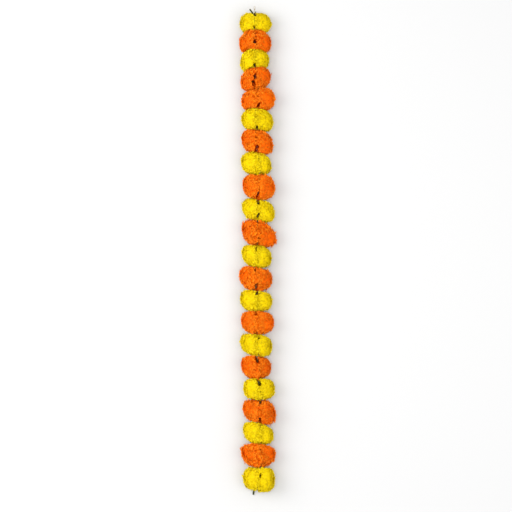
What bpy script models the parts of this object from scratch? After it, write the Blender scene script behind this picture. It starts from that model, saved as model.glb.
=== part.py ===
"""Marigold garland: twenty-two pairs of flower heads tied back to back along one thread.

The garland lies straight on a flat surface at z = 0. Its thread runs along Y, with the tied
loop at the +Y end, and each pair points to -X (left) and +X (right). Metres, +Z up.
"""

import math

import bmesh
import bpy
from mathutils import Vector

MM = 0.001
GARLAND = "marigold_garland"

# One row for each pair, from the loop down: petal colour, distance from the pair above, sideways
# shift of the thread, lean (the right head lower, in degrees), then radius and reach of the left
# head and of the right head. All lengths in mm.
PAIRS = [
    ("yellow", 0, -9, 0, 34, 47, 33, 54),
    ("orange", 63, -8, -1, 36, 49, 35, 53),
    ("yellow", 55, -8, -7, 35, 46, 32, 46),
    ("orange", 56, -6, -12, 35, 47, 34, 49),
    ("orange", 65, -2, -5, 34, 49, 39, 59),
    ("yellow", 63, -1, 6, 34, 50, 36, 52),
    ("orange", 67, -1, 11, 38, 49, 38, 51),
    ("yellow", 68, 0, 6, 37, 52, 34, 45),
    ("orange", 70, 2, 5, 38, 49, 41, 55),
    ("yellow", 74, 3, 12, 35, 52, 36, 53),
    ("orange", 73, 1, 16, 39, 49, 36, 59),
    ("yellow", 68, -1, 11, 36, 48, 36, 47),
    ("orange", 68, -3, 9, 40, 54, 37, 50),
    ("yellow", 70, -3, 4, 37, 52, 35, 51),
    ("orange", 67, -2, 3, 37, 50, 38, 56),
    ("yellow", 71, 0, 8, 36, 55, 38, 47),
    ("orange", 69, 2, 4, 39, 54, 32, 42),
    ("yellow", 69, 5, 0, 36, 50, 36, 51),
    ("orange", 71, 7, 10, 35, 53, 40, 51),
    ("yellow", 66, 6, 12, 37, 52, 34, 46),
    ("orange", 65, 5, 2, 39, 55, 36, 53),
    ("yellow", 75, 6, 2, 37, 52, 42, 50),
]

# How far the upper edge of each pair but the first stands above its middle, in mm: at its left
# head, at the thread and at its right head. That edge lies over the pair above.
UPPER_EDGES = [
    (36, 45, 37),
    (36, 42, 31),
    (27, 39, 38),
    (30, 39, 39),
    (37, 40, 30),
    (39, 39, 32),
    (39, 36, 27),
    (42, 36, 36),
    (42, 30, 27),
    (45, 42, 33),
    (34, 30, 26),
    (37, 29, 29),
    (33, 26, 25),
    (35, 31, 31),
    (35, 29, 25),
    (32, 31, 30),
    (34, 29, 32),
    (41, 37, 41),
    (35, 31, 20),
    (33, 30, 27),
    (40, 30, 34),
]
EDGE_STATION = 27 * MM  # from the thread to where a head's upper edge is stated
EDGE_HEIGHT = 0.35  # of a head's radius above its middle: the height that the edge is stated at

# A head's turned outline: share of its reach, and share of its radius, from the crown to the
# edge where its petals roll back.
DOME = [(1.0, 0.0), (0.965, 0.34), (0.85, 0.67), (0.65, 0.90), (0.40, 1.0), (0.16, 0.98)]
# Behind that edge, in mm from the thread and in shares of the radius: the rolled edge, the
# hollow back, the calyx cup and the calyx's end beside the thread.
BACK = [(2.6, 0.92), (7.0, 0.33), (3.2, 0.15), (1.4, 0.12), (1.4, 0.0)]
HEAD_SIDES = 12

FLATTEN = 2.5 * MM  # how far each head is pressed flat where it rests
SEAM_GAP = 0.4 * MM  # between the heads of neighbouring pairs
SHINGLE = math.radians(16)  # each pair laps up over the pair above it, on its upper side
SWELL_REACH = 0.55  # share of a head's reach, from the thread, that swells to meet its seams

THREAD_RADIUS = 0.9 * MM
KNOT_RADIUS = 2.2 * MM
TOUCH_GAP = 0.4 * MM
LOOP_LENGTH = 9 * MM
LOOP_WIDTH = 4.6 * MM
LOOP_THICKNESS = 1.2 * MM
LOOP_POINTS = 14

# Stem routes in mm from the middle of their pair, each point with the stem's radius there.
LONG_TOP_STEM = [
    (0.0, 8, 4, 1.2),
    (0.0, 15, 12, 1.3),
    (-0.5, 22, 20, 1.2),
    (-4.0, 28, 24, 2.1),
    (-9.0, 35, 26, 2.4),
    (-14.5, 42, 26, 2.4),
]
SHORT_TOP_STEM = [
    (0.2, 14, 2, 0.8),
    (0.8, 22, 7, 0.9),
    (0.9, 29, 12, 0.9),
    (4.5, 36, 16, 1.5),
]
BOTTOM_STEM = [
    (0.0, -9, -6, 1.5),
    (0.0, -15, -14, 1.7),
    (0.0, -21, -23, 1.8),
    (-1.6, -26, -29.5, 1.9),
    (-8.0, -32, -31.5, 2.6),
    (-13.0, -37, -32.0, 3.2),
    (-16.0, -44, -33.0, 2.6),
    (-17.5, -51, -34.4, 1.8),
    (-18.0, -57, -35.3, 1.2),
]
# The thread beyond the first pair, in mm from that pair's middle: it droops towards the knot.
TAIL = [(0.2, 22, -1), (0.3, 36, -4), (0.5, 44, -8)]
# And past the last pair, where it ends in the lower knot.
LAST_RUN = [(0.0, -12, 0), (0.0, -20, -1)]

COLOURS = {
    "yellow": (0.87, 0.68, 0.005),
    "orange": (0.92, 0.13, 0.004),
    "stem": (0.03, 0.06, 0.012),
    "thread": (0.62, 0.52, 0.36),
}
ROUGHNESS = {"yellow": 0.75, "orange": 0.75, "stem": 0.6, "thread": 0.85}


def clear_scene():
    for item in list(bpy.data.objects):
        bpy.data.objects.remove(item, do_unlink=True)


def new_collection(name):
    collection = bpy.data.collections.new(name)
    bpy.context.scene.collection.children.link(collection)
    return collection


def new_material(name, kind):
    material = bpy.data.materials.new(name)
    material.use_nodes = True
    shader = material.node_tree.nodes["Principled BSDF"]
    shader.inputs["Base Color"].default_value = (*COLOURS[kind], 1.0)
    shader.inputs["Roughness"].default_value = ROUGHNESS[kind]
    shader.inputs["Metallic"].default_value = 0.0
    material.diffuse_color = (*COLOURS[kind], 1.0)
    return material


def add_object(name, data, kind, collection, parent):
    item = bpy.data.objects.new(name, data)
    collection.objects.link(item)
    data.materials.append(new_material(name, kind))
    item.parent = parent
    return item


def turned_mesh(name, outline, sides):
    """A closed mesh turned about X from (along X, radius) points that run from the crown back."""
    profile = bpy.data.meshes.new(name)
    points = [(radius, 0.0, along) for along, radius in outline]
    profile.from_pydata(points, [(i, i + 1) for i in range(len(points) - 1)], [])
    lathe = bpy.data.objects.new(name, profile)
    bpy.context.scene.collection.objects.link(lathe)
    screw = lathe.modifiers.new("turn", "SCREW")
    screw.steps = sides
    screw.render_steps = sides
    screw.use_merge_vertices = True
    screw.merge_threshold = 0.00001
    screw.use_smooth_shade = True
    graph = bpy.context.evaluated_depsgraph_get()
    turned = bpy.data.meshes.new_from_object(lathe.evaluated_get(graph))
    bpy.data.objects.remove(lathe, do_unlink=True)
    bpy.data.meshes.remove(profile)
    return turned


def cut_flat(bm, point, normal):
    """Keep what lies behind a plane, and close the cut."""
    whole = bm.verts[:] + bm.edges[:] + bm.faces[:]
    bmesh.ops.bisect_plane(
        bm, geom=whole, dist=1e-7, plane_co=point, plane_no=normal, clear_outer=True
    )
    rim = [edge for edge in bm.edges if edge.is_boundary]
    if rim:
        bmesh.ops.holes_fill(bm, edges=rim, sides=0)


def pair_places():
    """The middle of each pair on the thread, before the garland is centred on the origin."""
    places = []
    along = 0.0
    for _, pitch, shift, _, left_radius, _, right_radius, _ in PAIRS:
        along -= pitch * MM
        height = 0.5 * (left_radius + right_radius) * MM - FLATTEN
        places.append(Vector((shift * MM, along, height)))
    return places


def thread_slope(places, index):
    """How far the thread moves sideways for each metre along Y, at a pair."""
    above = places[max(index - 1, 0)]
    below = places[min(index + 1, len(places) - 1)]
    return (above.x - below.x) / (above.y - below.y)


def seam_plane(places, index, side):
    """The plane between the heads on one side of a pair and of the next pair down.

    Returns a point on it at the thread, and its normal towards +Y.
    """
    lower = PAIRS[index + 1]
    left_edge, thread_edge, right_edge = UPPER_EDGES[index]
    head_edge = left_edge if side < 0 else right_edge
    fall = side * (thread_edge - head_edge) * MM / EDGE_STATION
    mean_radius = 0.5 * (lower[4] + lower[6]) * MM
    point = Vector(
        (
            0.5 * (places[index].x + places[index + 1].x),
            places[index + 1].y + thread_edge * MM,
            places[index + 1].z + EDGE_HEIGHT * mean_radius,
        )
    )
    normal = Vector((fall, 1.0, -math.tan(SHINGLE))).normalized()
    return point, normal


def swell(index, radius, upward):
    """How much wider a head is beside the thread, so that it reaches the seam there."""
    if upward:
        wanted = UPPER_EDGES[index - 1][1] if index > 0 else 0.0
    elif index < len(PAIRS) - 1:
        wanted = PAIRS[index + 1][1] - UPPER_EDGES[index][1]
    else:
        wanted = 0.0
    return max(0.0, wanted * MM / (BACK[0][1] * radius) - 1.0)


def build_head(name, index, side, places, collection, parent):
    """One flower head: a dome of petals with its calyx, leaning and pressed by its neighbours."""
    colour, _, _, lean, left_radius, left_reach, right_radius, right_reach = PAIRS[index]
    radius = (left_radius if side < 0 else right_radius) * MM
    reach = (left_reach if side < 0 else right_reach) * MM
    outline = [(share * reach, ring * radius) for share, ring in DOME]
    outline += [(depth * MM, ring * radius) for depth, ring in BACK]
    mesh = turned_mesh(name, outline, HEAD_SIDES)

    place = places[index]
    slope = thread_slope(places, index)
    sway = math.tan(math.radians(lean))
    centre_height = radius - FLATTEN
    bm = bmesh.new()
    bm.from_mesh(mesh)
    for vert in bm.verts:
        ring_x, ring_y, outward = vert.co
        local_x = side * outward
        local_y = side * ring_x
        near_thread = max(0.0, 1.0 - outward / (SWELL_REACH * reach))
        local_y *= 1.0 + near_thread * swell(index, radius, local_y > 0.0)
        vert.co = (
            place.x + local_x + slope * local_y,
            place.y + local_y - sway * local_x,
            centre_height + ring_y,
        )
    if index > 0:
        point, normal = seam_plane(places, index - 1, side)
        cut_flat(bm, point - normal * SEAM_GAP * 0.5, normal)
    if index < len(PAIRS) - 1:
        point, normal = seam_plane(places, index, side)
        cut_flat(bm, point + normal * SEAM_GAP * 0.5, -normal)
    cut_flat(bm, Vector((0.0, 0.0, 0.0)), Vector((0.0, 0.0, -1.0)))
    bmesh.ops.remove_doubles(bm, verts=bm.verts[:], dist=0.00005)
    bmesh.ops.triangulate(bm, faces=[face for face in bm.faces if len(face.verts) > 4])
    bmesh.ops.recalc_face_normals(bm, faces=bm.faces[:])
    bm.to_mesh(mesh)
    bm.free()
    mesh.shade_smooth()
    mesh.set_sharp_from_angle(angle=math.radians(50))
    return add_object(name, mesh, colour, collection, parent)


def smooth_route(points, steps):
    """Points read from a smooth curve through the route's own points."""
    route = []
    last = len(points) - 1
    for i in range(last):
        before = points[max(i - 1, 0)]
        start = points[i]
        end = points[i + 1]
        after = points[min(i + 2, last)]
        for step in range(steps):
            t = step / steps
            route.append(
                0.5
                * (
                    2 * start
                    + (end - before) * t
                    + (2 * before - 5 * start + 4 * end - after) * t**2
                    + (3 * start - before - 3 * end + after) * t**3
                )
            )
    route.append(points[last])
    return route


def build_tube(name, route, radii, kind, collection, parent, closed=False):
    """A round tube along a route, with its own radius at each point."""
    curve = bpy.data.curves.new(name, "CURVE")
    curve.dimensions = "3D"
    curve.bevel_depth = 1.0
    curve.bevel_resolution = 2
    curve.use_fill_caps = not closed
    spline = curve.splines.new("POLY")
    spline.points.add(len(route) - 1)
    for point, place, radius in zip(spline.points, route, radii):
        point.co = (*place, 1.0)
        point.radius = radius
    spline.use_cyclic_u = closed
    spline.use_smooth = True
    return add_object(name, curve, kind, collection, parent)


def build_stem(name, place, shape, collection, parent):
    points = [Vector((*step[:3], step[3])) * MM for step in shape]
    route = smooth_route(points, 2)
    centres = [place + Vector(step[:3]) for step in route]
    radii = [step[3] for step in route]
    return build_tube(name, centres, radii, "stem", collection, parent)


def build_knot(name, centre, collection, parent):
    mesh = bpy.data.meshes.new(name)
    bm = bmesh.new()
    bmesh.ops.create_icosphere(bm, subdivisions=2, radius=KNOT_RADIUS)
    bmesh.ops.scale(bm, vec=(0.85, 1.0, 0.8), verts=bm.verts[:])
    bmesh.ops.translate(bm, vec=centre, verts=bm.verts[:])
    bm.to_mesh(mesh)
    bm.free()
    mesh.shade_smooth()
    return add_object(name, mesh, "thread", collection, parent)


def build_thread(places, collection, parent):
    """The thread through every pair, its two knots and the loop at its upper end."""
    upper = [places[0] + Vector(step) * MM for step in TAIL]
    lower = [places[-1] + Vector(step) * MM for step in LAST_RUN]
    route = smooth_route(upper[::-1] + places + lower, 2)
    radii = [THREAD_RADIUS] * len(route)
    build_tube("thread", route, radii, "thread", collection, parent)

    heading = (upper[-1] - upper[-2]).normalized()
    upper_knot = upper[-1] + heading * (KNOT_RADIUS + TOUCH_GAP)
    build_knot("upper_knot", upper_knot, collection, parent)
    knot_end = lower[-1] + (lower[-1] - lower[-2]).normalized() * (KNOT_RADIUS + TOUCH_GAP)
    build_knot("lower_knot", knot_end, collection, parent)

    loop_start = upper_knot + heading * (KNOT_RADIUS + TOUCH_GAP + LOOP_THICKNESS * 0.5)
    middle = loop_start + heading * LOOP_LENGTH * 0.5
    sideways = Vector((1.0, 0.0, 0.0))
    ring = []
    for step in range(LOOP_POINTS):
        turn = math.tau * step / LOOP_POINTS
        along = heading * LOOP_LENGTH * 0.5 * math.cos(turn)
        ring.append(middle + along + sideways * LOOP_WIDTH * 0.5 * math.sin(turn))
    radii = [LOOP_THICKNESS * 0.5] * LOOP_POINTS
    build_tube("thread_loop", ring, radii, "thread", collection, parent, closed=True)


def world_bounds(collection):
    graph = bpy.context.evaluated_depsgraph_get()
    corners = []
    for item in collection.objects:
        shape = item.evaluated_get(graph)
        mesh = shape.to_mesh()
        corners += [shape.matrix_world @ vert.co for vert in mesh.vertices]
        shape.to_mesh_clear()
    low = [min(corner[axis] for corner in corners) for axis in range(3)]
    high = [max(corner[axis] for corner in corners) for axis in range(3)]
    return Vector(low), Vector(high)


def main():
    clear_scene()
    guides = new_collection("guides")
    garland = new_collection(GARLAND)
    base = bpy.data.objects.new("garland_origin", None)
    guides.objects.link(base)

    places = pair_places()
    for index in range(len(PAIRS)):
        colour = PAIRS[index][0]
        for side, word in ((-1, "left"), (1, "right")):
            name = f"marigold_{index + 1:02d}_{word}_{colour}"
            build_head(name, index, side, places, garland, base)
    build_thread(places, garland, base)
    build_stem("long_top_stem", places[0], LONG_TOP_STEM, garland, base)
    build_stem("short_top_stem", places[0], SHORT_TOP_STEM, garland, base)
    build_stem("bottom_stem", places[-1], BOTTOM_STEM, garland, base)

    # The origin is the middle of the garland's footprint, on the surface that it lies on.
    low, high = world_bounds(garland)
    base.location = (-0.5 * (low.x + high.x), -0.5 * (low.y + high.y), 0.0)


main()
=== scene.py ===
"""Looks of the marigold garland: every head is rebuilt petal by petal inside its CAD solid.

The garland lies along Y with its loop at the upper end. Left heads face -X and right heads +X.
"""

import math

import bpy
import numpy as np
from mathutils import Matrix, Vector
from mathutils.bvhtree import BVHTree


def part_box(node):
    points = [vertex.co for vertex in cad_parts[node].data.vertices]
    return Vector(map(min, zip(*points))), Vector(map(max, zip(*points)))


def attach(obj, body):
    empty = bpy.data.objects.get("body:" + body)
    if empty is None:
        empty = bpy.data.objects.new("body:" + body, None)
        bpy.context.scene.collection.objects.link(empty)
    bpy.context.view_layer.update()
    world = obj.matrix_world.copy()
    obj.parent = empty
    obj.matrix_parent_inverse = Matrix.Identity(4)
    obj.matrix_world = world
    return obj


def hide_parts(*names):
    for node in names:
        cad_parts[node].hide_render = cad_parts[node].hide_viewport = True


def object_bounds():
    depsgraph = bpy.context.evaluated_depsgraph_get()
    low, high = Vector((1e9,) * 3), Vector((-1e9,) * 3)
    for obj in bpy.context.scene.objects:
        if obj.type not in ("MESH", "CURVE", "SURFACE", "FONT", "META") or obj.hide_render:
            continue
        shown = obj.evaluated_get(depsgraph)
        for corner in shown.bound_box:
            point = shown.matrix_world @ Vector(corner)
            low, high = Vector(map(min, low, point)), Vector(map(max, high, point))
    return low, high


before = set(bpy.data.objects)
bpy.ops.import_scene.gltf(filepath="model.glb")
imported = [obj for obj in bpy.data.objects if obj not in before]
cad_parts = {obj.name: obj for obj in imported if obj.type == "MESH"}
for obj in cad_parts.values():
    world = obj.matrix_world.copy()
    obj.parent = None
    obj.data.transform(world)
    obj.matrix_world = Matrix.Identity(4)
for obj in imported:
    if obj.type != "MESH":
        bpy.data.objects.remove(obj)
cad_low, cad_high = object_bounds()

MM = 0.001
GOLDEN_ANGLE = math.pi * (3.0 - math.sqrt(5.0))
SEED = 18
FLOOR_GAP = 0.3 * MM  # between the lowest petals and z = 0, and between z = 0 and the floor

# ---------------------------------------------------------------- the heads' measures

# Pairs are numbered from 1 at the loop's end. A side is -1 for a left head and 1 for a right one.
# TILTS and LAPS give single heads and pairs a value of their own.
BACK_ANGLE = math.radians(119)  # from a head's crown to its rearmost petals
HEART = 0.24  # where petals start, as a share of the way from the calyx to the crown
TILT = 14  # degrees by which a head's crown is turned up
TILTS = {(5, 1): 26, (9, 1): 24, (13, 1): 18}
NO_SURFACE = 30 * MM  # the length of a petal that meets no surface
LAP = 6  # mm by which the upper side of a head laps over the pair above
LAPS = {
    2: 12,
    3: 8,
    4: 7.5,
    7: 7,
    8: 5,
    12: 3,
    13: 1,
    14: 2.5,
    15: 2.5,
    16: 4,
    19: 4,
    20: 3,
    21: 2.5,
    22: 1.5,
}
LAP_LEVEL = 0.25  # a petal this much below level, as its aim's Z, no longer laps over
HANG = {22: 6}  # mm by which the lower side of the last pair hangs free
TUCK = 1.5 * MM  # the lower side of a head stays under the pair below
TUCK_ABOVE = 30 * MM  # the height from which it does
LOWER_SIDE = 0.9  # how squarely that surface faces down the garland, as its normal's Y
THREAD_SIDE = 0.5  # how squarely a surface faces the thread where two heads meet
THREAD_REACH = 9 * MM  # and how near to the thread it is
MIX = 6 * MM  # how far petals mix with those of the other head of their pair
CROSSING = (0.0, 1.6)  # the share of it that single petals use
FILL = 3.5 * MM  # petals along the thread stand up by this, to fill the dip between the heads
FILL_ANGLES = (72, 98)  # degrees from the crown over which that begins
FILL_AIMS = (0.3, 0.8)  # and how far up they aim, as the aim's Z, over which it does too
LOOSE = (11, 13, 19, 21)  # pairs with wider and more uneven petals
LOOSE_WIDTH = 1.2

# The core: one body that stands for the inner petals of a head.
CORE = {"yellow": 0.94, "orange": 0.88}  # share of the head that it fills
CROWN_CORE = 0.93  # and round its crown and towards the next pairs
CORE_CROWN = (25, 65)  # degrees from the crown between which the one share becomes the other
CORE_ENDS = (0.45, 0.85)  # and how far it aims along the garland, as the aim's Y
CORE_RINGS = 24
CORE_SIDES = 64
CORE_TOP = 0.06  # radians from the crown to the first ring
CORE_RUFFLE = 1.2 * MM
CORE_TONE = 0.3
CORE_VEINS = 14.0  # petals' widths that go round the core
CORE_SHADE = (0.55, 0.80)  # the part of the petals' colour ramp that it shows, from crown to back

# Holes between the petals that show the stems and the dark inside of a pair. For each pair: a
# line in plan from its middle, in mm, and the hole's half width.
HOLES = {
    1: [(-4, 37, 3, 23, 1.8), (-0.5, -12, -0.5, -15, 1.0)],
    2: [(0, 6, 0, 3, 3.2)],
    3: [(-1, -8, 0, -15, 1.6)],
    4: [(-2, 11, -1, 5, 3.0), (-7, -7, -4, -20, 3.6)],
    5: [(10, -10, 4, -20, 2.2)],
    6: [(0, -18, 1, -26, 1.6)],
    7: [(1, -14, -4, -29, 3.4)],
    8: [(14, -28, 16, -33, 1.2)],
    9: [(2, -18, -4, -32, 1.5)],
    10: [(0, 28, 0, 21, 3.0), (2, -10, -3, -21, 1.4)],
    11: [(0, -29, -3, -37, 2.0)],
    12: [(-2, 26, -2, 17, 1.0)],
    13: [(-4, 25, -4, 22, 1.8), (0, -20, -1, -32, 1.9)],
    14: [(5, 27, 2, 23, 1.0), (0, 22, 0, 18, 1.8)],
    15: [(-1, 26, -1, 23, 1.6), (0, -30, 0, -34, 1.6)],
    16: [(6, 20, 6, 22, 1.4)],
    17: [(-6, 31, -1, 17, 3.2)],
    18: [(-2, 28, 3, 15, 3.2)],
    19: [(2, 37, 3, 31, 3.2), (0, -20, 4, -28, 2.0)],
    22: [(5, 16, 3, 6, 0.8)],
}
HOLE_BOTTOM = 8 * MM  # above the pair's middle: lower petals may cross a hole
SINK_DEPTH = 4 * MM  # the core is sunk to this below the middle under a hole
SINK_SLOPE = 3.5  # mm from a hole's edge to where the core stands at its full height

# Folds where the petals part without showing the inside, given in the same way.
FOLDS = {
    2: [(-1, 2, -2, -10, 0.8)],
    9: [(13, 30, 1, -10, 1.6)],
    16: [(2, 8, 20, -26, 1.6)],
    21: [(-1, -14, 1, -30, 1.6)],
}
FOLD_ROOM = 2.5  # mm that a petal needs beside a fold
FOLD_RISE = 12 * MM  # the height above the pair's middle at which a fold is fully open

# Where the two heads of a pair meet, in plan: (along Y, across X) from the pair's middle, in mm.
# The others meet on the thread.
SEAMS = {
    4: [(-20, -4), (-8, -7), (10, -2), (20, 0)],
    5: [(-20, 3), (5, 9), (28, 13)],
    7: [(-29, -4), (-14, 1)],
    8: [(-28, 14), (0, 7), (30, 0)],
    9: [(-32, -4), (-18, 2), (-10, 1), (30, 13)],
    10: [(-21, -3), (-10, 2), (20, 0)],
    11: [(-37, -3), (-28, 0)],
    12: [(-25, 4), (25, -2)],
    13: [(-20, 1), (0, 4), (25, -4)],
    16: [(-26, 7), (8, 2), (20, 4)],
    17: [(-20, 3), (17, -1), (31, -5)],
    18: [(-25, 5), (15, 3), (28, -2)],
    19: [(-27, 3), (0, -2), (37, 2)],
    20: [(-36, 9), (33, 0)],
    21: [(-30, 0), (-10, 4), (10, -2)],
    22: [(-30, 5), (20, -1)],
}

# ---------------------------------------------------------------- the petals' measures

# A petal's measures change with its place on the head. Where two numbers stand for one measure,
# it goes from the first to the second, or a random draw lies between them.
PETALS = 520  # in each head
PETAL_COLUMNS = 4
PETAL_ROWS = (0.0, 0.40, 0.64, 0.80, 0.91, 1.0)  # stations along a petal
PETAL_START = 3 * MM  # from the heart to a petal's base
PLACE_SPREAD = (0.03, 0.04)  # radians, from the crown and round it
LENGTH_SPREAD = 0.025
LOOSE_LENGTH_SPREAD = 0.045
LONG_PETALS = 0.03  # the share of petals that stand out
LONGER = (1.04, 1.10)
CROWN_TO_SIDE = (4, 50)  # degrees from the crown over which petals open out
SIDE_TO_BACK = (72, 106)  # and over which they turn upright again
BEND = (24, 38)  # degrees, from the crown to the side
BEND_BACK = 0.5  # the share of the bend that petals at the back keep
BEND_SPREAD = (0.8, 1.2)
BEND_POWER = 2.2  # how much of the bend is near the tip
HALF_WIDTH = (3.0 * MM, 4.6 * MM)  # from the crown to the side
WIDTH_SPREAD = (0.85, 1.2)
BASE_WIDTH = 0.2  # of the full width, which is reached at FULL_WIDTH of the length
FULL_WIDTH = 0.8
TIP_NARROWS = 0.22  # the share of the width lost from TIP_START to the tip
TIP_START = 0.82
TIP_ROUNDED = 0.10  # how much shorter a petal is at its edges than in its middle
TEETH = (0.02, 0.06)  # the depth of the teeth of its tip
WAVES = (2.2, 4.2)  # how closely a petal's teeth and ruffles follow each other, times these:
TEETH_PACE = 2
RUFFLE_PACE = 1.6
RUFFLE = (0.16, 0.34)  # the height of the ruffled edge, as a share of the half width
CUP = (-0.25, 0.35)  # the height of the edges over the middle, as a share of the half width
TWIST = (0.22, 0.57)  # radians at the tip, from the side to the back
PACE = 0.22  # how far a petal's stations are moved towards its tip
TANGENT_STEP = 0.02  # of the length, to read which way a petal runs
TONE = (0.35, 0.28)  # the mean and spread of the petals' tones
CELL_MARGIN = 0.04  # round each petal's share of the baked image
CORE_MARGIN = (0.01, 0.05)  # round the core's share of it, across and along

# ---------------------------------------------------------------- stems and thread

# Stubs of stem that stay on some heads and show in the holes: the pair, its side, and a route
# from the pair's middle with the stub's radius, in mm.
STUBS = [
    (3, -1, [(-2, -2, 2, 1.5), (-1, -8, 16, 1.5), (-0.5, -13, 19, 1.7)]),
    (6, 1, [(2, -3, 2, 1.3), (1, -16, 12, 1.3), (1, -24, 18, 1.5)]),
    (10, -1, [(-2, 3, 2, 1.8), (-1, 14, 15, 1.8), (-1, 23, 26, 2.2)]),
    (10, 1, [(2, -3, 2, 1.2), (2, -8, 22, 1.2), (-0.5, -15, 28, 1.3), (-3, -21, 28, 1.4)]),
    (11, 1, [(2, -6, 2, 1.2), (0, -24, 19, 1.2), (-1.5, -34, 23, 1.4)]),
    (13, 1, [(2, -5, 2, 1.2), (1, -17, 23, 1.2), (-2, -27, 28, 1.2), (-1, -34, 26, 1.4)]),
    (14, 1, [(2, 4, 3, 1.2), (3, 15, 20, 1.3), (3, 22, 27, 2.6)]),
    (17, -1, [(-2, 4, 2, 1.3), (-2, 15, 6, 1.3), (-5, 27, 12, 1.4)]),
    (18, 1, [(2, 3, 2, 2.0), (1, 12, 15, 2.4), (1.5, 21, 26, 3.0)]),
    (19, -1, [(-2, 5, 2, 1.8), (1, 21, 18, 2.0), (2.5, 34, 23, 2.4)]),
]

# Free stems, given in the same way: the first two from the first pair's middle, and the third
# from the last pair's. They follow the routes of their solids.
TOP_LONG = [
    (0, 8, 4, 1.2),
    (0, 15, 12, 1.3),
    (-0.5, 22, 20, 1.2),
    (-4, 28, 24, 2.1),
    (-9, 35, 26, 2.4),
    (-14.5, 42, 26, 2.4),
]
TOP_SHORT = [(0.2, 14, 2, 0.8), (0.8, 22, 7, 0.9), (0.9, 29, 12, 0.9), (4.5, 36, 16, 1.5)]
BOTTOM = [
    (0, -9, -6, 1.5),
    (0, -15, -14, 1.7),
    (0, -21, -23, 1.8),
    (-1.6, -26, -29.5, 1.9),
    (-8, -32, -31.5, 2.6),
    (-13, -37, -32, 3.2),
    (-16, -44, -33, 2.8),
    (-17.5, -51, -34.4, 2.8),
    (-18, -57, -35.3, 2.6),
]
STEM_SIDES = 12
STEM_RIDGES = 6
STEM_RIDGE_DEPTH = 0.12  # of the radius
STEM_STEPS = 8  # stations between two points of a route
STEM_SWELLING = (0.05, 1.1)  # share of the radius, and radians from one station to the next

# A calyx: distance from the thread, radius, and the depth of its ribs, in mm.
CALYX = [
    (1.5, 1.2, 0.0),
    (1.8, 2.6, 0.1),
    (3.0, 4.0, 0.3),
    (5.0, 4.7, 0.5),
    (7.5, 5.2, 0.6),
    (10.0, 6.0, 0.7),
    (12.0, 7.2, 0.5),
    (12.6, 6.6, 0.3),
    (10.5, 5.0, 0.0),
    (9.5, 1.5, 0.0),
]
CALYX_SIDES = 32
CALYX_RIBS = 8
CALYX_RIM = 11  # mm from the thread: rings beyond it have teeth
CALYX_TEETH = 1.4  # mm

RING_GAP = 2 * MM  # the rings of the thread's solid are further apart than this
THREAD_SIDES = 12
STRANDS = 3
THREAD_RADIUS = 0.9 * MM
THREAD_GROOVE = 0.35  # the depth between strands, as a share of the radius
THREAD_PITCH = 5.5 * MM
LOOP_RADIUS = 0.6 * MM
LOOP_GROOVE = 0.3
LOOP_PITCH = 4 * MM
LOOP_STATIONS = 60
KNOT_STATIONS = 90
KNOT_SIDES = 8
KNOT_REACH = 0.62  # the middle of the wound cord, as a share of the knot's half width
KNOT_WAVE = 0.20  # how far the cord goes in and out from there
KNOT_CORD = 0.34  # the cord's radius, as a share of the knot's least half width
SHARP_EDGE = math.radians(50)
NO_ROUTE = (0.3, 0.2, 1.0)  # a direction that no tube starts along

# ---------------------------------------------------------------- colours, light and camera

# Petals: at the base, where the deep colour is partly the petals' own and partly painted shade,
# along most of it, near the tip, at the tip, where the pale colour is a painted highlight, and the
# tone of darker petals.
PETAL_COLOURS = {
    "yellow": {
        "deep_and_painted_shade": (0.15, 0.09, 0.0),
        "body": (0.71, 0.515, 0.0),
        "tip": (0.73, 0.565, 0.0),
        "painted_highlight": (0.785, 0.65, 0.015),
        "dark": (0.66, 0.485, 0.0),
    },
    "orange": {
        "deep_and_painted_shade": (0.32, 0.010, 0.0),
        "body": (0.785, 0.11, 0.0),
        "tip": (0.845, 0.168, 0.0),
        "painted_highlight": (0.92, 0.31, 0.02),
        "dark": (0.63, 0.06, 0.0),
    },
}
TONE_SHARE = 0.6  # how much of the darker tone a petal takes at most
STEM_GREENS = (0.014, 0.018, 0.003), (0.05, 0.06, 0.01)
COTTON_CREAMS = (0.30, 0.24, 0.15), (0.52, 0.43, 0.30)
FLOOR_GREYS = (0.56, 0.56, 0.56), (0.565, 0.565, 0.565)

FLOOR_HALF = 6.0
LIGHTS = [  # name, place, watts and size
    ("key", (-2.6, 0.6, 2.8), 89, 2.6),
    ("fill", (1.6, -0.6, 3.4), 34, 2.5),
    ("top", (-0.3, 0.0, 5.6), 100, 2.0),
]
WORLD_STRENGTH = 0.95

CAMERA_DISTANCE = 5.0  # from the middle of the heads, at their height CAMERA_AIM
CAMERA_AIM = 0.04
LENGTH_IN_PICTURE = 0.96  # the garland's length, as a share of the picture's height
SENSOR_WIDTH = 36.0
# The garland stands a little right of the picture's middle, and nearer to its upper edge.
CAMERA_ASIDE = 5.4 * MM
CAMERA_BELOW = 16.3 * MM
CAMERA_REACH = 50.0


# ---------------------------------------------------------------- materials


def set_inputs(tree, node, inputs):
    """Link each input to a socket, or set it to a value."""
    for socket, value in inputs.items():
        if isinstance(value, bpy.types.NodeSocket):
            tree.links.new(value, node.inputs[socket])
        else:
            node.inputs[socket].default_value = value


def add_node(tree, kind, inputs, **settings):
    node = tree.nodes.new(kind)
    for key, value in settings.items():
        setattr(node, key, value)
    set_inputs(tree, node, inputs)
    return node


def node_material(name):
    material = bpy.data.materials.new(name)
    material.use_nodes = True
    tree = material.node_tree
    return material, tree, tree.nodes["Principled BSDF"]


def ramp(tree, factor, stops):
    node = add_node(tree, "ShaderNodeValToRGB", {"Fac": factor})
    elements = node.color_ramp.elements
    while len(elements) < len(stops):
        elements.new(0.5)
    for element, (place, colour) in zip(elements, stops):
        element.position = place
        element.color = (*colour, 1.0)
    return node.outputs["Color"]


def mix_colour(tree, blend, factor, first, second):
    inputs = {0: factor, 6: first, 7: second}
    node = add_node(tree, "ShaderNodeMix", inputs, data_type="RGBA", blend_type=blend)
    return node.outputs[2]


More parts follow.
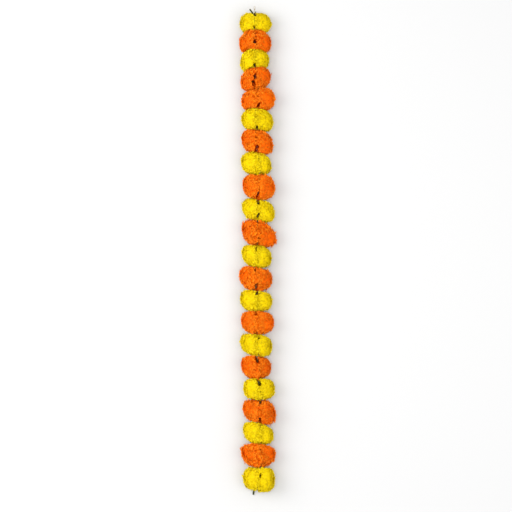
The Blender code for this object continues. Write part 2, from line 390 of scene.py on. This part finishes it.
def petal_material(name, deep_and_painted_shade, body, tip, painted_highlight, dark):
    """Petals: deep at the base, partly painted shade, and bright at the tip with a painted
    highlight, with fine veins and a tone for each one.
    """
    material, tree, shader = node_material(name)
    place = add_node(tree, "ShaderNodeUVMap", {}, uv_map="petal").outputs["UV"]
    along = add_node(tree, "ShaderNodeSeparateXYZ", {0: place}).outputs["Y"]
    # Darker towards the base, partly the petals' own colour and partly painted shade; the palest
    # stop at the tip is a painted highlight.
    colour = ramp(tree, along, [(0.08, deep_and_painted_shade), (0.34, body), (0.93, tip), (1.0, painted_highlight)])
    tone = add_node(tree, "ShaderNodeAttribute", {}, attribute_name="tone").outputs["Fac"]
    inputs = {0: tone, 1: TONE_SHARE}
    amount = add_node(tree, "ShaderNodeMath", inputs, operation="MULTIPLY").outputs[0]
    shaded = mix_colour(tree, "MIX", amount, colour, (*dark, 1.0))

    inputs = {"Vector": place, "Scale": (9.0, 0.8, 1.0)}
    stretched = add_node(tree, "ShaderNodeMapping", inputs).outputs["Vector"]
    inputs = {"Vector": stretched, "Scale": 3.0, "Detail": 2.0}
    veins = add_node(tree, "ShaderNodeTexNoise", inputs).outputs["Fac"]
    light = ramp(tree, veins, [(0.3, (0.86, 0.82, 0.8)), (0.7, (1.0, 1.0, 1.0))])
    inputs = {"Value": veins, "To Min": 0.55, "To Max": 0.8}
    rough = add_node(tree, "ShaderNodeMapRange", inputs).outputs["Result"]
    inputs = {"Height": veins, "Strength": 0.35, "Distance": 0.4 * MM}
    bump = add_node(tree, "ShaderNodeBump", inputs).outputs["Normal"]
    inputs = {
        "Base Color": mix_colour(tree, "MULTIPLY", 1.0, shaded, light),
        "Roughness": rough,
        "Normal": bump,
        "Specular IOR Level": 0.05,
    }
    set_inputs(tree, shader, inputs)
    return material


def plain_material(name, tones, scale, roughness, bump_mm=0.0, shine=0.5):
    """Two tones broken up by noise of a scale, with a bump of that many mm."""
    material, tree, shader = node_material(name)
    place = add_node(tree, "ShaderNodeTexCoord", {}).outputs["Object"]
    inputs = {"Vector": place, "Scale": scale, "Detail": 3.0}
    noise = add_node(tree, "ShaderNodeTexNoise", inputs).outputs["Fac"]
    colour = ramp(tree, noise, [(0.35, tones[0]), (0.65, tones[1])])
    inputs = {"Base Color": colour, "Roughness": roughness, "Specular IOR Level": shine}
    set_inputs(tree, shader, inputs)
    if bump_mm:
        inputs = {"Height": noise, "Strength": 0.5, "Distance": bump_mm * MM}
        bump = add_node(tree, "ShaderNodeBump", inputs).outputs["Normal"]
        set_inputs(tree, shader, {"Normal": bump})
    return material


# ---------------------------------------------------------------- the heads' places


def corners_of(item):
    """The corners of an object's mesh, as rows of X, Y and Z."""
    mesh = item.data
    found = np.empty(len(mesh.vertices) * 3, np.float32)
    mesh.vertices.foreach_get("co", found)
    return found.reshape(-1, 3).astype(float)


def solid_tree(item):
    mesh = item.data
    points = [vert.co.copy() for vert in mesh.vertices]
    faces = [tuple(face.vertices) for face in mesh.polygons]
    return BVHTree.FromPolygons(points, faces)


def thread_centres():
    """The centres of the rings of the thread's own solid, from the loop end down."""
    points = corners_of(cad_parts["thread"])
    points = points[np.argsort(-points[:, 1])]
    breaks = np.where(-np.diff(points[:, 1]) > RING_GAP)[0] + 1
    return np.array([group.mean(axis=0) for group in np.split(points, breaks)])


THREAD = thread_centres()


def thread_middle(y):
    """The thread's centre at stations along Y."""
    rising = THREAD[::-1]
    return np.stack([np.interp(y, rising[:, 1], rising[:, k]) for k in range(3)], axis=-1)


class Head:
    """Where one flower head sits, read from its CAD solid."""

    def __init__(self, name):
        self.name = name
        _, number, word, self.colour = name.split("_")
        self.pair = int(number)
        self.side = -1.0 if word == "left" else 1.0
        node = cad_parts[name]
        points = corners_of(node)
        self.crown = points[np.argmax(points[:, 0] * self.side)]
        self.tree = solid_tree(node)

    def ray(self, start, direction):
        return self.tree.ray_cast(Vector(start), Vector(direction))


def find_heads():
    """Every pair's two heads by their sides, with the pair's middle on the thread."""
    pairs = {}
    for name in sorted(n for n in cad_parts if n.startswith("marigold_")):
        head = Head(name)
        pairs.setdefault(head.pair, {})[head.side] = head
    for pair in pairs.values():
        left, right = pair[-1.0], pair[1.0]
        middle = thread_middle(0.5 * (left.crown[1] + right.crown[1]))
        share = (middle[0] - left.crown[0]) / (right.crown[0] - left.crown[0])
        along = left.crown[1] + share * (right.crown[1] - left.crown[1])
        middle = thread_middle(along)
        for head in (left, right):
            head.middle = np.array([middle[0], along, middle[2]])
            head.calyx = np.array([middle[0], along, head.crown[2]])
    return pairs


def seam_x(head, y):
    """Where the two heads of a pair meet at stations along Y."""
    stations, offsets = zip(*SEAMS.get(head.pair, [(0, 0)]))
    across = np.interp((y - head.middle[1]) / MM, stations, offsets) * MM
    return thread_middle(y)[..., 0] + across


def head_axes(head):
    """A head's heart, and its own axes: to its crown, up and to the side."""
    axis = head.crown - head.calyx
    reach = np.linalg.norm(axis)
    axis /= reach
    heart = head.calyx + axis * reach * HEART
    tilt = math.radians(TILTS.get((head.pair, head.side), TILT))
    up = np.array([0.0, 0.0, 1.0])
    up -= axis * up.dot(axis)
    up /= np.linalg.norm(up)
    crownward = axis * math.cos(tilt) + up * math.sin(tilt)
    up = up * math.cos(tilt) - axis * math.sin(tilt)
    return heart, (crownward, up, np.cross(crownward, up))


# ---------------------------------------------------------------- holes, folds and seams


def smooth(low, high, values):
    """0 up to the low value, 1 from the high one, and a smooth rise from the one to the other."""
    share = np.clip((values - low) / (high - low), 0.0, 1.0)
    return share * share * (3.0 - 2.0 * share)


def distance_in_plan(head, line, points):
    """Distances in plan from a line of the pair, and the ways that lead off it."""
    x0, y0, x1, y1, _ = line
    start = head.middle[:2] + np.array([x0, y0]) * MM
    run = np.array([x1 - x0, y1 - y0]) * MM
    share = np.clip(((points[..., :2] - start) @ run) / max(run @ run, 1e-12), 0.0, 1.0)
    away = points[..., :2] - (start + share[..., None] * run)
    distance = np.linalg.norm(away, axis=-1)
    return distance, away / np.maximum(distance, 1e-6)[..., None]


def part_at_folds(head, points, along):
    """Lean whole petals away from the folds of their pair."""
    for line in FOLDS.get(head.pair, ()):
        tips = points[:, -1].mean(axis=1)
        distance, way = distance_in_plan(head, line, tips)
        rise = smooth(head.middle[2], head.middle[2] + FOLD_RISE, tips[:, 2])
        room = (line[4] + FOLD_ROOM) * MM * rise
        shift = way * (np.sqrt(distance**2 + room**2) - distance)[:, None]
        points[..., :2] += shift[:, None, None, :] * along[..., None]


def lean_back(head, points, along, crossing):
    """Lean whole petals back until each crosses the seam by no more than its own share.

    The two heads of a pair press together along the thread, and their petals mix there.
    """
    behind = (seam_x(head, points[..., 1]) - points[..., 0]) * head.side - crossing
    most = np.maximum(behind.max(axis=(1, 2)), 0.0)
    points[..., 0] += head.side * most[:, None, None] * along


def leaves_holes_open(head, points):
    """Which petals keep clear of the holes of their pair."""
    halfway = 0.5 * (points[:, 1:] + points[:, :-1])
    checked = np.concatenate([points, halfway], axis=1)
    high = checked[..., 2] > head.middle[2] + HOLE_BOTTOM
    clear = np.ones(len(points), bool)
    for line in HOLES.get(head.pair, ()):
        distance, _ = distance_in_plan(head, line, checked)
        clear &= ~((distance < line[4] * MM) & high).any(axis=(1, 2))
    return clear


def sink_core(head, points):
    """Sink the core under the holes; returns how far each corner has gone, from 0 to 1, which also
    moves its colour to the deep end of the ramp as painted shade.
    """
    middle = head.middle[2]
    sunk = np.zeros(points.shape[:-1])
    for line in HOLES.get(head.pair, ()):
        distance, _ = distance_in_plan(head, line, points)
        share = 1.0 - smooth(line[4] * MM, (line[4] + SINK_SLOPE) * MM, distance)
        share *= smooth(middle - SINK_DEPTH, middle + SINK_DEPTH, points[..., 2])
        sunk = np.maximum(sunk, share)
    points[..., 2] -= sunk * np.maximum(points[..., 2] - (middle - SINK_DEPTH), 0.0)
    return sunk


# ---------------------------------------------------------------- petals


def between(pair, share):
    """The value at a share of the way from the first of two numbers to the second."""
    return pair[0] + (pair[1] - pair[0]) * share


def directions(axes, theta, phi):
    """Aims at angles from a head's crown (theta) and round it (phi)."""
    axis, up, side = axes
    sines = np.sin(theta)
    return (
        np.cos(theta)[..., None] * axis
        + (sines * np.cos(phi))[..., None] * up
        + (sines * np.sin(phi))[..., None] * side
    )


def aims_and_lengths(head, heart, axes, theta, phi):
    """The aims at these angles, and the lengths along them from the heart to the surface."""
    aims = directions(axes, theta, phi)
    level = directions(axes, np.full(theta.size, math.pi / 2), phi)
    equator = [head.ray(heart, aim)[3] or NO_SURFACE for aim in level]
    lengths = np.empty(len(aims))
    lap = LAPS.get(head.pair, LAP) * MM
    hang = HANG.get(head.pair, 0.0) * MM
    for i, aim in enumerate(aims):
        place, normal, _, distance = head.ray(heart, aim)
        if place is None:
            lengths[i] = equator[i]
            continue
        lengths[i] = distance
        at_thread = abs(place.x - head.calyx[0]) < THREAD_REACH
        if -normal.x * head.side > THREAD_SIDE and at_thread:
            seam = float(seam_x(head, np.array(place.y)))
            to_seam = (seam - head.side * MIX - heart[0]) / aim[0]
            lengths[i] = min(to_seam, equator[i] / math.sin(theta[i]))
        elif normal.y < -LOWER_SIDE and place.z > TUCK_ABOVE:
            lengths[i] = distance - TUCK
        lengths[i] += hang * max(0.0, -aim[1]) ** 2
        lengths[i] += lap * max(0.0, aim[1]) * min(1.0, max(0.0, LAP_LEVEL + aim[2]))
    return aims, lengths


def petal_points(head, heart, axes, rng):
    """Rows of corners for every petal that leaves the holes open, with their U and V."""
    loose = head.pair in LOOSE
    order = (np.arange(PETALS) + 0.5) / PETALS
    theta = np.arccos(1.0 - (1.0 - math.cos(BACK_ANGLE)) * order)
    phi = np.arange(PETALS) * GOLDEN_ANGLE + rng.uniform(0, math.tau)
    theta += rng.normal(0, PLACE_SPREAD[0], PETALS)
    phi += rng.normal(0, PLACE_SPREAD[1], PETALS)
    aims, lengths = aims_and_lengths(head, heart, axes, theta, phi)
    lengths += FILL * smooth(*np.radians(FILL_ANGLES), theta) * smooth(*FILL_AIMS, aims[:, 2])
    lengths *= 1.0 + rng.normal(0.0, LOOSE_LENGTH_SPREAD if loose else LENGTH_SPREAD, PETALS)
    stands_out = rng.random(PETALS) < LONG_PETALS
    lengths *= np.where(stands_out, rng.uniform(*LONGER, PETALS), 1.0)

    openness = smooth(*np.radians(CROWN_TO_SIDE), theta)
    upright = smooth(*np.radians(SIDE_TO_BACK), theta)
    bend = np.radians(between(BEND, openness)) * (1 - (1 - BEND_BACK) * upright)
    bend *= rng.uniform(*BEND_SPREAD, PETALS)
    half_width = between(HALF_WIDTH, openness) * rng.uniform(*WIDTH_SPREAD, PETALS)
    half_width *= LOOSE_WIDTH if loose else 1.0
    ruffle = half_width * rng.uniform(*RUFFLE, PETALS)
    waves = rng.uniform(*WAVES, PETALS)
    phase = rng.uniform(0, math.tau, PETALS)
    cup = half_width * rng.uniform(*CUP, PETALS)
    teeth = rng.uniform(*TEETH, PETALS)
    twist = rng.normal(0, 1, PETALS) * between(TWIST, upright)

    rows = np.array(PETAL_ROWS)
    columns = np.linspace(-1.0, 1.0, PETAL_COLUMNS + 1)
    v = rows[None, :, None] * np.ones((PETALS, 1, len(columns)))
    u = columns[None, None, :] * np.ones((PETALS, len(rows), 1))

    def each(values):
        return values[:, None, None]

    # The tip is rounded, with small teeth.
    tooth = 0.5 + 0.5 * np.cos(each(waves) * TEETH_PACE * u + each(phase))
    cut = TIP_ROUNDED * u**2 + each(teeth) * tooth
    s = v * (1.0 - v**2 * cut)
    spin = each(phi) + 0 * u

    def midline(s):
        radius = PETAL_START + (each(lengths) - PETAL_START) * s * (1.0 + PACE - PACE * s)
        angle = each(theta) - each(bend) * (1.0 - s**BEND_POWER)
        return directions(axes, angle, spin) * radius[..., None]

    centre = midline(s)
    tangent = midline(s + TANGENT_STEP) - centre
    tangent /= np.linalg.norm(tangent, axis=-1, keepdims=True)
    across = -np.sin(spin)[..., None] * axes[1] + np.cos(spin)[..., None] * axes[2]
    facing = np.cross(tangent, across)
    # Each petal is turned a little about its own midline.
    turn = (each(twist) * s)[..., None]
    turned = np.cos(turn) * across + np.sin(turn) * facing
    facing = np.cross(tangent, turned)
    width = each(half_width) * (BASE_WIDTH + (1.0 - BASE_WIDTH) * smooth(0.0, FULL_WIDTH, s))
    width *= 1.0 - TIP_NARROWS * smooth(TIP_START, 1.0, v)
    ripple = each(ruffle) * np.sin(each(waves) * u * RUFFLE_PACE + each(phase))
    lift = each(cup) * u**2 * s + ripple * s**3
    points = heart + centre + turned * (u * width)[..., None] + facing * lift[..., None]

    part_at_folds(head, points, s)
    lean_back(head, points, s, each(rng.uniform(*CROSSING, PETALS) * MIX))
    points[..., 2] = np.maximum(points[..., 2], FLOOR_GAP)
    clear = leaves_holes_open(head, points)
    return points[clear], u[clear], v[clear]


def core_points(head, heart, axes, rng):
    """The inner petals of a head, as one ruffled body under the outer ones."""
    shape = (CORE_RINGS, CORE_SIDES + 1)
    theta = np.linspace(CORE_TOP, BACK_ANGLE, CORE_RINGS)[:, None] + np.zeros(shape)
    phi = np.zeros(shape) + np.linspace(0, math.tau, CORE_SIDES + 1)[None, :]
    aims, lengths = aims_and_lengths(head, heart, axes, theta.ravel(), phi.ravel())
    ruffle = rng.uniform(-1.0, 1.0, shape) * CORE_RUFFLE
    ruffle[:, -1] = ruffle[:, 0]
    ends = smooth(*CORE_ENDS, np.abs(aims[:, 1])).reshape(shape)
    crown = 1.0 - smooth(*np.radians(CORE_CROWN), theta)
    share = between((CORE[head.colour], CROWN_CORE), np.maximum(crown, ends))
    radius = lengths.reshape(shape) * share + ruffle
    points = heart + aims.reshape(*shape, 3) * radius[..., None]
    behind = (seam_x(head, points[..., 1]) - points[..., 0]) * head.side
    points[..., 0] += head.side * np.maximum(behind, 0.0)
    sunk = sink_core(head, points)
    points[..., 2] = np.maximum(points[..., 2], FLOOR_GAP)
    return points, sunk


def grid_quads(grid):
    """Faces between the rows and columns of a grid of corner numbers."""
    corners = [grid[:-1, :-1], grid[:-1, 1:], grid[1:, 1:], grid[1:, :-1]]
    return np.stack(corners, axis=-1).reshape(-1, 4)


def put_piece(mesh, material, node):
    """An object of the mesh, which rides with the garland in place of a CAD node."""
    mesh.shade_smooth()
    mesh.materials.append(material)
    piece = bpy.data.objects.new(mesh.name, mesh)
    bpy.context.scene.collection.objects.link(piece)
    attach(piece, "root")
    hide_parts(node)
    return piece


def mesh_of_quads(name, points, faces, maps, tones):
    mesh = bpy.data.meshes.new(name)
    mesh.vertices.add(len(points))
    mesh.vertices.foreach_set("co", points.astype(np.float32).ravel())
    mesh.loops.add(len(faces) * 4)
    mesh.loops.foreach_set("vertex_index", faces.astype(np.int32).ravel())
    mesh.polygons.add(len(faces))
    mesh.polygons.foreach_set("loop_start", np.arange(len(faces), dtype=np.int32) * 4)
    mesh.update(calc_edges=True)
    for map_name, values in maps.items():
        layer = mesh.uv_layers.new(name=map_name)
        layer.data.foreach_set("uv", values[faces.ravel()].astype(np.float32).ravel())
    tone = mesh.attributes.new("tone", "FLOAT", "POINT")
    tone.data.foreach_set("value", tones.astype(np.float32))
    return mesh


def petal_head(head, material):
    """All petals of one head, as one mesh that fills its CAD solid from the calyx outwards."""
    rng = np.random.default_rng(SEED + 2 * head.pair + (head.side > 0))
    heart, axes = head_axes(head)
    points, u, v = petal_points(head, heart, axes, rng)
    count = len(points)
    per = points[0].size // 3
    tones = np.repeat(np.clip(rng.normal(*TONE, count), 0, 1), per)
    core, sunk = core_points(head, heart, axes, rng)
    core_size = core.size // 3

    quads = grid_quads(np.arange(per).reshape(u.shape[1:]))
    petal_faces = (quads[None] + (np.arange(count) * per)[:, None, None]).reshape(-1, 4)
    core_faces = grid_quads(count * per + np.arange(core_size).reshape(sunk.shape))

    # In the baked image each petal has a square cell, and the core the rows above them.
    cells = math.ceil(math.sqrt(PETALS)) + 1
    rows_used = math.ceil(PETALS / cells)
    number = np.arange(count)
    cell = np.stack([number % cells, number // cells], axis=-1)[:, None, :]
    petal_map = np.stack([(u + 1) * 0.5, v], axis=-1).reshape(count, per, 2)
    petal_bake = (cell + CELL_MARGIN + (1 - 2 * CELL_MARGIN) * petal_map) / cells
    core_u, core_v = np.meshgrid(
        np.linspace(0.0, 1.0, CORE_SIDES + 1), np.linspace(0.0, 1.0, CORE_RINGS)
    )
    # Where the core is sunk under a hole it takes the deep end of the ramp: painted shade in the
    # hole.
    core_map = np.stack([core_u * CORE_VEINS, between(CORE_SHADE, core_v) * (1 - sunk)], axis=-1)
    aside, ahead = CORE_MARGIN
    core_across = aside + (1 - 2 * aside) * core_u
    core_along = (rows_used + ahead + core_v * (cells - rows_used - 2 * ahead)) / cells
    core_bake = np.stack([core_across, core_along], axis=-1)

    def joined(petals, core, width):
        return np.concatenate([petals.reshape(-1, width), core.reshape(-1, width)])

    mesh = mesh_of_quads(
        head.name.replace("marigold", "petals"),
        joined(points, core, 3),
        joined(petal_faces, core_faces, 4),
        {"petal": joined(petal_map, core_map, 2), "OFBake": joined(petal_bake, core_bake, 2)},
        np.concatenate([tones, np.full(core_size, CORE_TONE)]),
    )
    return put_piece(mesh, material, head.name)


# ---------------------------------------------------------------- calyces, stems and thread


def smooth_route(points, steps):
    """Points read from a smooth curve through the route's own points."""
    route = []
    last = len(points) - 1
    for i in range(last):
        before, start = points[max(i - 1, 0)], points[i]
        end, after = points[i + 1], points[min(i + 2, last)]
        for step in range(steps):
            t = step / steps
            bent = (2 * before - 5 * start + 4 * end - after) * t**2
            bent = bent + (3 * start - before - 3 * end + after) * t**3
            route.append(0.5 * (2 * start + (end - before) * t + bent))
    route.append(points[last])
    return np.array(route)


def tube_faces(rings, sides, closed=False):
    """Faces between rings of corners, with a cap at each end unless the tube is closed."""
    faces = []
    for i in range(rings if closed else rings - 1):
        j = (i + 1) % rings
        for k in range(sides):
            m = (k + 1) % sides
            faces.append((i * sides + k, i * sides + m, j * sides + m, j * sides + k))
    if not closed:
        faces.append(tuple(range(sides - 1, -1, -1)))
        faces.append(tuple((rings - 1) * sides + k for k in range(sides)))
    return faces


def tube_parts(route, radii, sides, ridges=0, depth=0.0, pitch=None, closed=False):
    """Corners and faces of a tube along a route, with ridges that may twist round it."""
    ahead = np.roll(route, -1, axis=0) - np.roll(route, 1, axis=0)
    if not closed:
        ahead[0] = route[1] - route[0]
        ahead[-1] = route[-1] - route[-2]
    ahead /= np.linalg.norm(ahead, axis=1, keepdims=True)
    lengths = np.linalg.norm(np.diff(route, axis=0), axis=1)
    travelled = np.concatenate([[0.0], np.cumsum(lengths)])
    normal = np.cross(ahead[0], NO_ROUTE)
    turn = np.arange(sides) * math.tau / sides
    profile = 1.0 - depth * (0.5 - 0.5 * np.cos(ridges * turn))
    corners = []
    for i, centre in enumerate(route):
        normal = normal - ahead[i] * normal.dot(ahead[i])
        normal /= np.linalg.norm(normal)
        second = np.cross(ahead[i], normal)
        angle = turn + (math.tau * travelled[i] / pitch if pitch else 0.0)
        ring = np.cos(angle)[:, None] * normal + np.sin(angle)[:, None] * second
        corners.append(centre + (radii[i] * profile)[:, None] * ring)
    return np.concatenate(corners), tube_faces(len(route), sides, closed)


def add_piece(name, parts, material, node):
    """One object from lists of corners and faces."""
    corners, faces = [], []
    for part_corners, part_faces in parts:
        shift = len(corners)
        corners += [tuple(corner) for corner in part_corners]
        faces += [tuple(k + shift for k in face) for face in part_faces]
    mesh = bpy.data.meshes.new(name)
    mesh.from_pydata(corners, [], faces)
    piece = put_piece(mesh, material, node)
    mesh.set_sharp_from_angle(angle=SHARP_EDGE)
    return piece


def calyx_parts(head):
    """The ribbed green cup that holds a head's petals, with a toothed rim."""
    axis = head.crown - head.calyx
    axis /= np.linalg.norm(axis)
    second = np.cross(axis, (0.0, 0.0, 1.0))
    second /= np.linalg.norm(second)
    third = np.cross(axis, second)
    turn = np.arange(CALYX_SIDES) * math.tau / CALYX_SIDES
    ribs = 0.5 + 0.5 * np.cos(CALYX_RIBS * turn)
    corners = []
    for distance, radius, depth in CALYX:
        tooth = CALYX_TEETH * ribs if distance > CALYX_RIM else 0.0
        along = (distance + tooth) * np.ones(CALYX_SIDES)
        ring = radius + depth * (ribs - 0.5)
        outward = (ring * np.cos(turn))[:, None] * second + (ring * np.sin(turn))[:, None] * third
        corners.append(head.calyx + MM * (along[:, None] * axis + outward))
    return np.concatenate(corners), tube_faces(len(CALYX), CALYX_SIDES)


def stem_parts(middle, steps):
    """A ridged stem along a route from the pair's middle, in mm, with its radius at each point."""
    route = smooth_route([np.array(step, float) * MM for step in steps], STEM_STEPS)
    share, turn = STEM_SWELLING
    radii = route[:, 3] * (1.0 + share * np.sin(np.arange(len(route)) * turn))
    return tube_parts(middle + route[:, :3], radii, STEM_SIDES, STEM_RIDGES, STEM_RIDGE_DEPTH)


def build_calyx(head, material):
    parts = [calyx_parts(head)]
    for pair, side, steps in STUBS:
        if pair == head.pair and side == head.side:
            parts.append(stem_parts(head.middle, steps))
    name = head.name.rsplit("_", 1)[0].replace("marigold", "calyx")
    add_piece(name, parts, material, head.name)


def box_middle_and_half(node):
    low, high = (np.array(corner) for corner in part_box(node))
    return (low + high) / 2, (high - low) / 2


def build_thread(material):
    """The twisted thread, from one knot to the other."""
    steps = np.linalg.norm(np.diff(THREAD, axis=0), axis=1)
    lengths = np.concatenate([[0], np.cumsum(steps)])
    stations = np.arange(0.0, lengths[-1], MM)
    route = np.stack([np.interp(stations, lengths, THREAD[:, k]) for k in range(3)], axis=1)
    radii = np.full(len(route), THREAD_RADIUS)
    tube = tube_parts(route, radii, THREAD_SIDES, STRANDS, THREAD_GROOVE, THREAD_PITCH)
    add_piece("twisted_thread", [tube], material, "thread")


def build_loop(material):
    """The tied loop: a twisted ring that leans with its solid."""
    middle, half = box_middle_and_half("thread_loop")
    turns = np.arange(LOOP_STATIONS) * math.tau / LOOP_STATIONS
    round_it = np.stack([np.sin(turns), np.cos(turns), -np.cos(turns)], axis=1)
    radii = np.full(LOOP_STATIONS, LOOP_RADIUS)
    tube = tube_parts(
        middle + (half - LOOP_RADIUS) * round_it,
        radii,
        THREAD_SIDES,
        STRANDS,
        LOOP_GROOVE,
        LOOP_PITCH,
        closed=True,
    )
    add_piece("tied_loop", [tube], material, "thread_loop")


def build_knot(node, material):
    """A knot wound as a trefoil inside its solid."""
    middle, half = box_middle_and_half(node)
    turns = np.arange(KNOT_STATIONS) * math.tau / KNOT_STATIONS
    wound = KNOT_REACH + KNOT_WAVE * np.cos(3 * turns)
    round_it = [wound * np.cos(2 * turns), KNOT_REACH * np.sin(3 * turns), wound * np.sin(2 * turns)]
    route = middle + half * np.stack(round_it, axis=1)
    radii = np.full(KNOT_STATIONS, KNOT_CORD * half.min())
    tube = tube_parts(route, radii, KNOT_SIDES, closed=True)
    add_piece(f"wound_{node}", [tube], material, node)


def build_stems(pairs, material):
    first = pairs[min(pairs)][1.0].middle
    last = pairs[max(pairs)][1.0].middle
    for node, middle, steps in (
        ("long_top_stem", first, TOP_LONG),
        ("short_top_stem", first, TOP_SHORT),
        ("bottom_stem", last, BOTTOM),
    ):
        add_piece(f"{node}_ridged", [stem_parts(middle, steps)], material, node)


# ---------------------------------------------------------------- stage


def build_floor():
    corners = [(-1, -1), (1, -1), (1, 1), (-1, 1)]
    mesh = bpy.data.meshes.new("floor")
    mesh.from_pydata([(x * FLOOR_HALF, y * FLOOR_HALF, 0) for x, y in corners], [], [(0, 1, 2, 3)])
    mesh.materials.append(plain_material("floor_white", FLOOR_GREYS, 300.0, 0.9))
    floor = bpy.data.objects.new("floor", mesh)
    floor.location.z = -FLOOR_GAP
    bpy.context.scene.collection.objects.link(floor)


def build_lights():
    """Soft lamps that all point at the middle of the garland, and an even white surround."""
    for name, place, power, size in LIGHTS:
        lamp = bpy.data.lights.new(name, "AREA")
        lamp.energy = power
        lamp.size = size
        item = bpy.data.objects.new(name, lamp)
        item.location = place
        item.rotation_euler = (-Vector(place)).to_track_quat("-Z", "Y").to_euler()
        bpy.context.scene.collection.objects.link(item)
    world = bpy.data.worlds.new("studio")
    world.use_nodes = True
    inputs = {"Color": (1, 1, 1, 1), "Strength": WORLD_STRENGTH}
    set_inputs(world.node_tree, world.node_tree.nodes["Background"], inputs)
    bpy.context.scene.world = world
    bpy.context.scene.view_settings.view_transform = "Standard"


def build_camera():
    """Straight above, with the whole length filling the square picture."""
    low, high = Vector(cad_low), Vector(cad_high)
    middle = (low + high) / 2
    picture_side = (high.y - low.y) / LENGTH_IN_PICTURE
    camera_data = bpy.data.cameras.new("camera")
    camera_data.sensor_width = SENSOR_WIDTH
    camera_data.lens = SENSOR_WIDTH * CAMERA_DISTANCE / picture_side
    camera_data.clip_end = CAMERA_REACH
    camera = bpy.data.objects.new("camera", camera_data)
    camera.location = (
        middle.x - CAMERA_ASIDE,
        middle.y - CAMERA_BELOW,
        CAMERA_DISTANCE + CAMERA_AIM,
    )
    camera.rotation_euler = (0, 0, 0)
    bpy.context.scene.collection.objects.link(camera)
    bpy.context.scene.camera = camera


def main():
    petals = {
        colour: petal_material(f"{colour}_petals", **shades)
        for colour, shades in PETAL_COLOURS.items()
    }
    green = plain_material("green_stem", STEM_GREENS, 220.0, 0.6, bump_mm=0.3, shine=0.15)
    cotton = plain_material("cotton_thread", COTTON_CREAMS, 900.0, 0.9, bump_mm=0.2)
    pairs = find_heads()
    for pair in pairs.values():
        for head in pair.values():
            petal_head(head, petals[head.colour])
            build_calyx(head, green)
    build_thread(cotton)
    build_loop(cotton)
    build_knot("upper_knot", cotton)
    build_knot("lower_knot", cotton)
    build_stems(pairs, green)
    build_floor()
    build_lights()
    build_camera()


main()
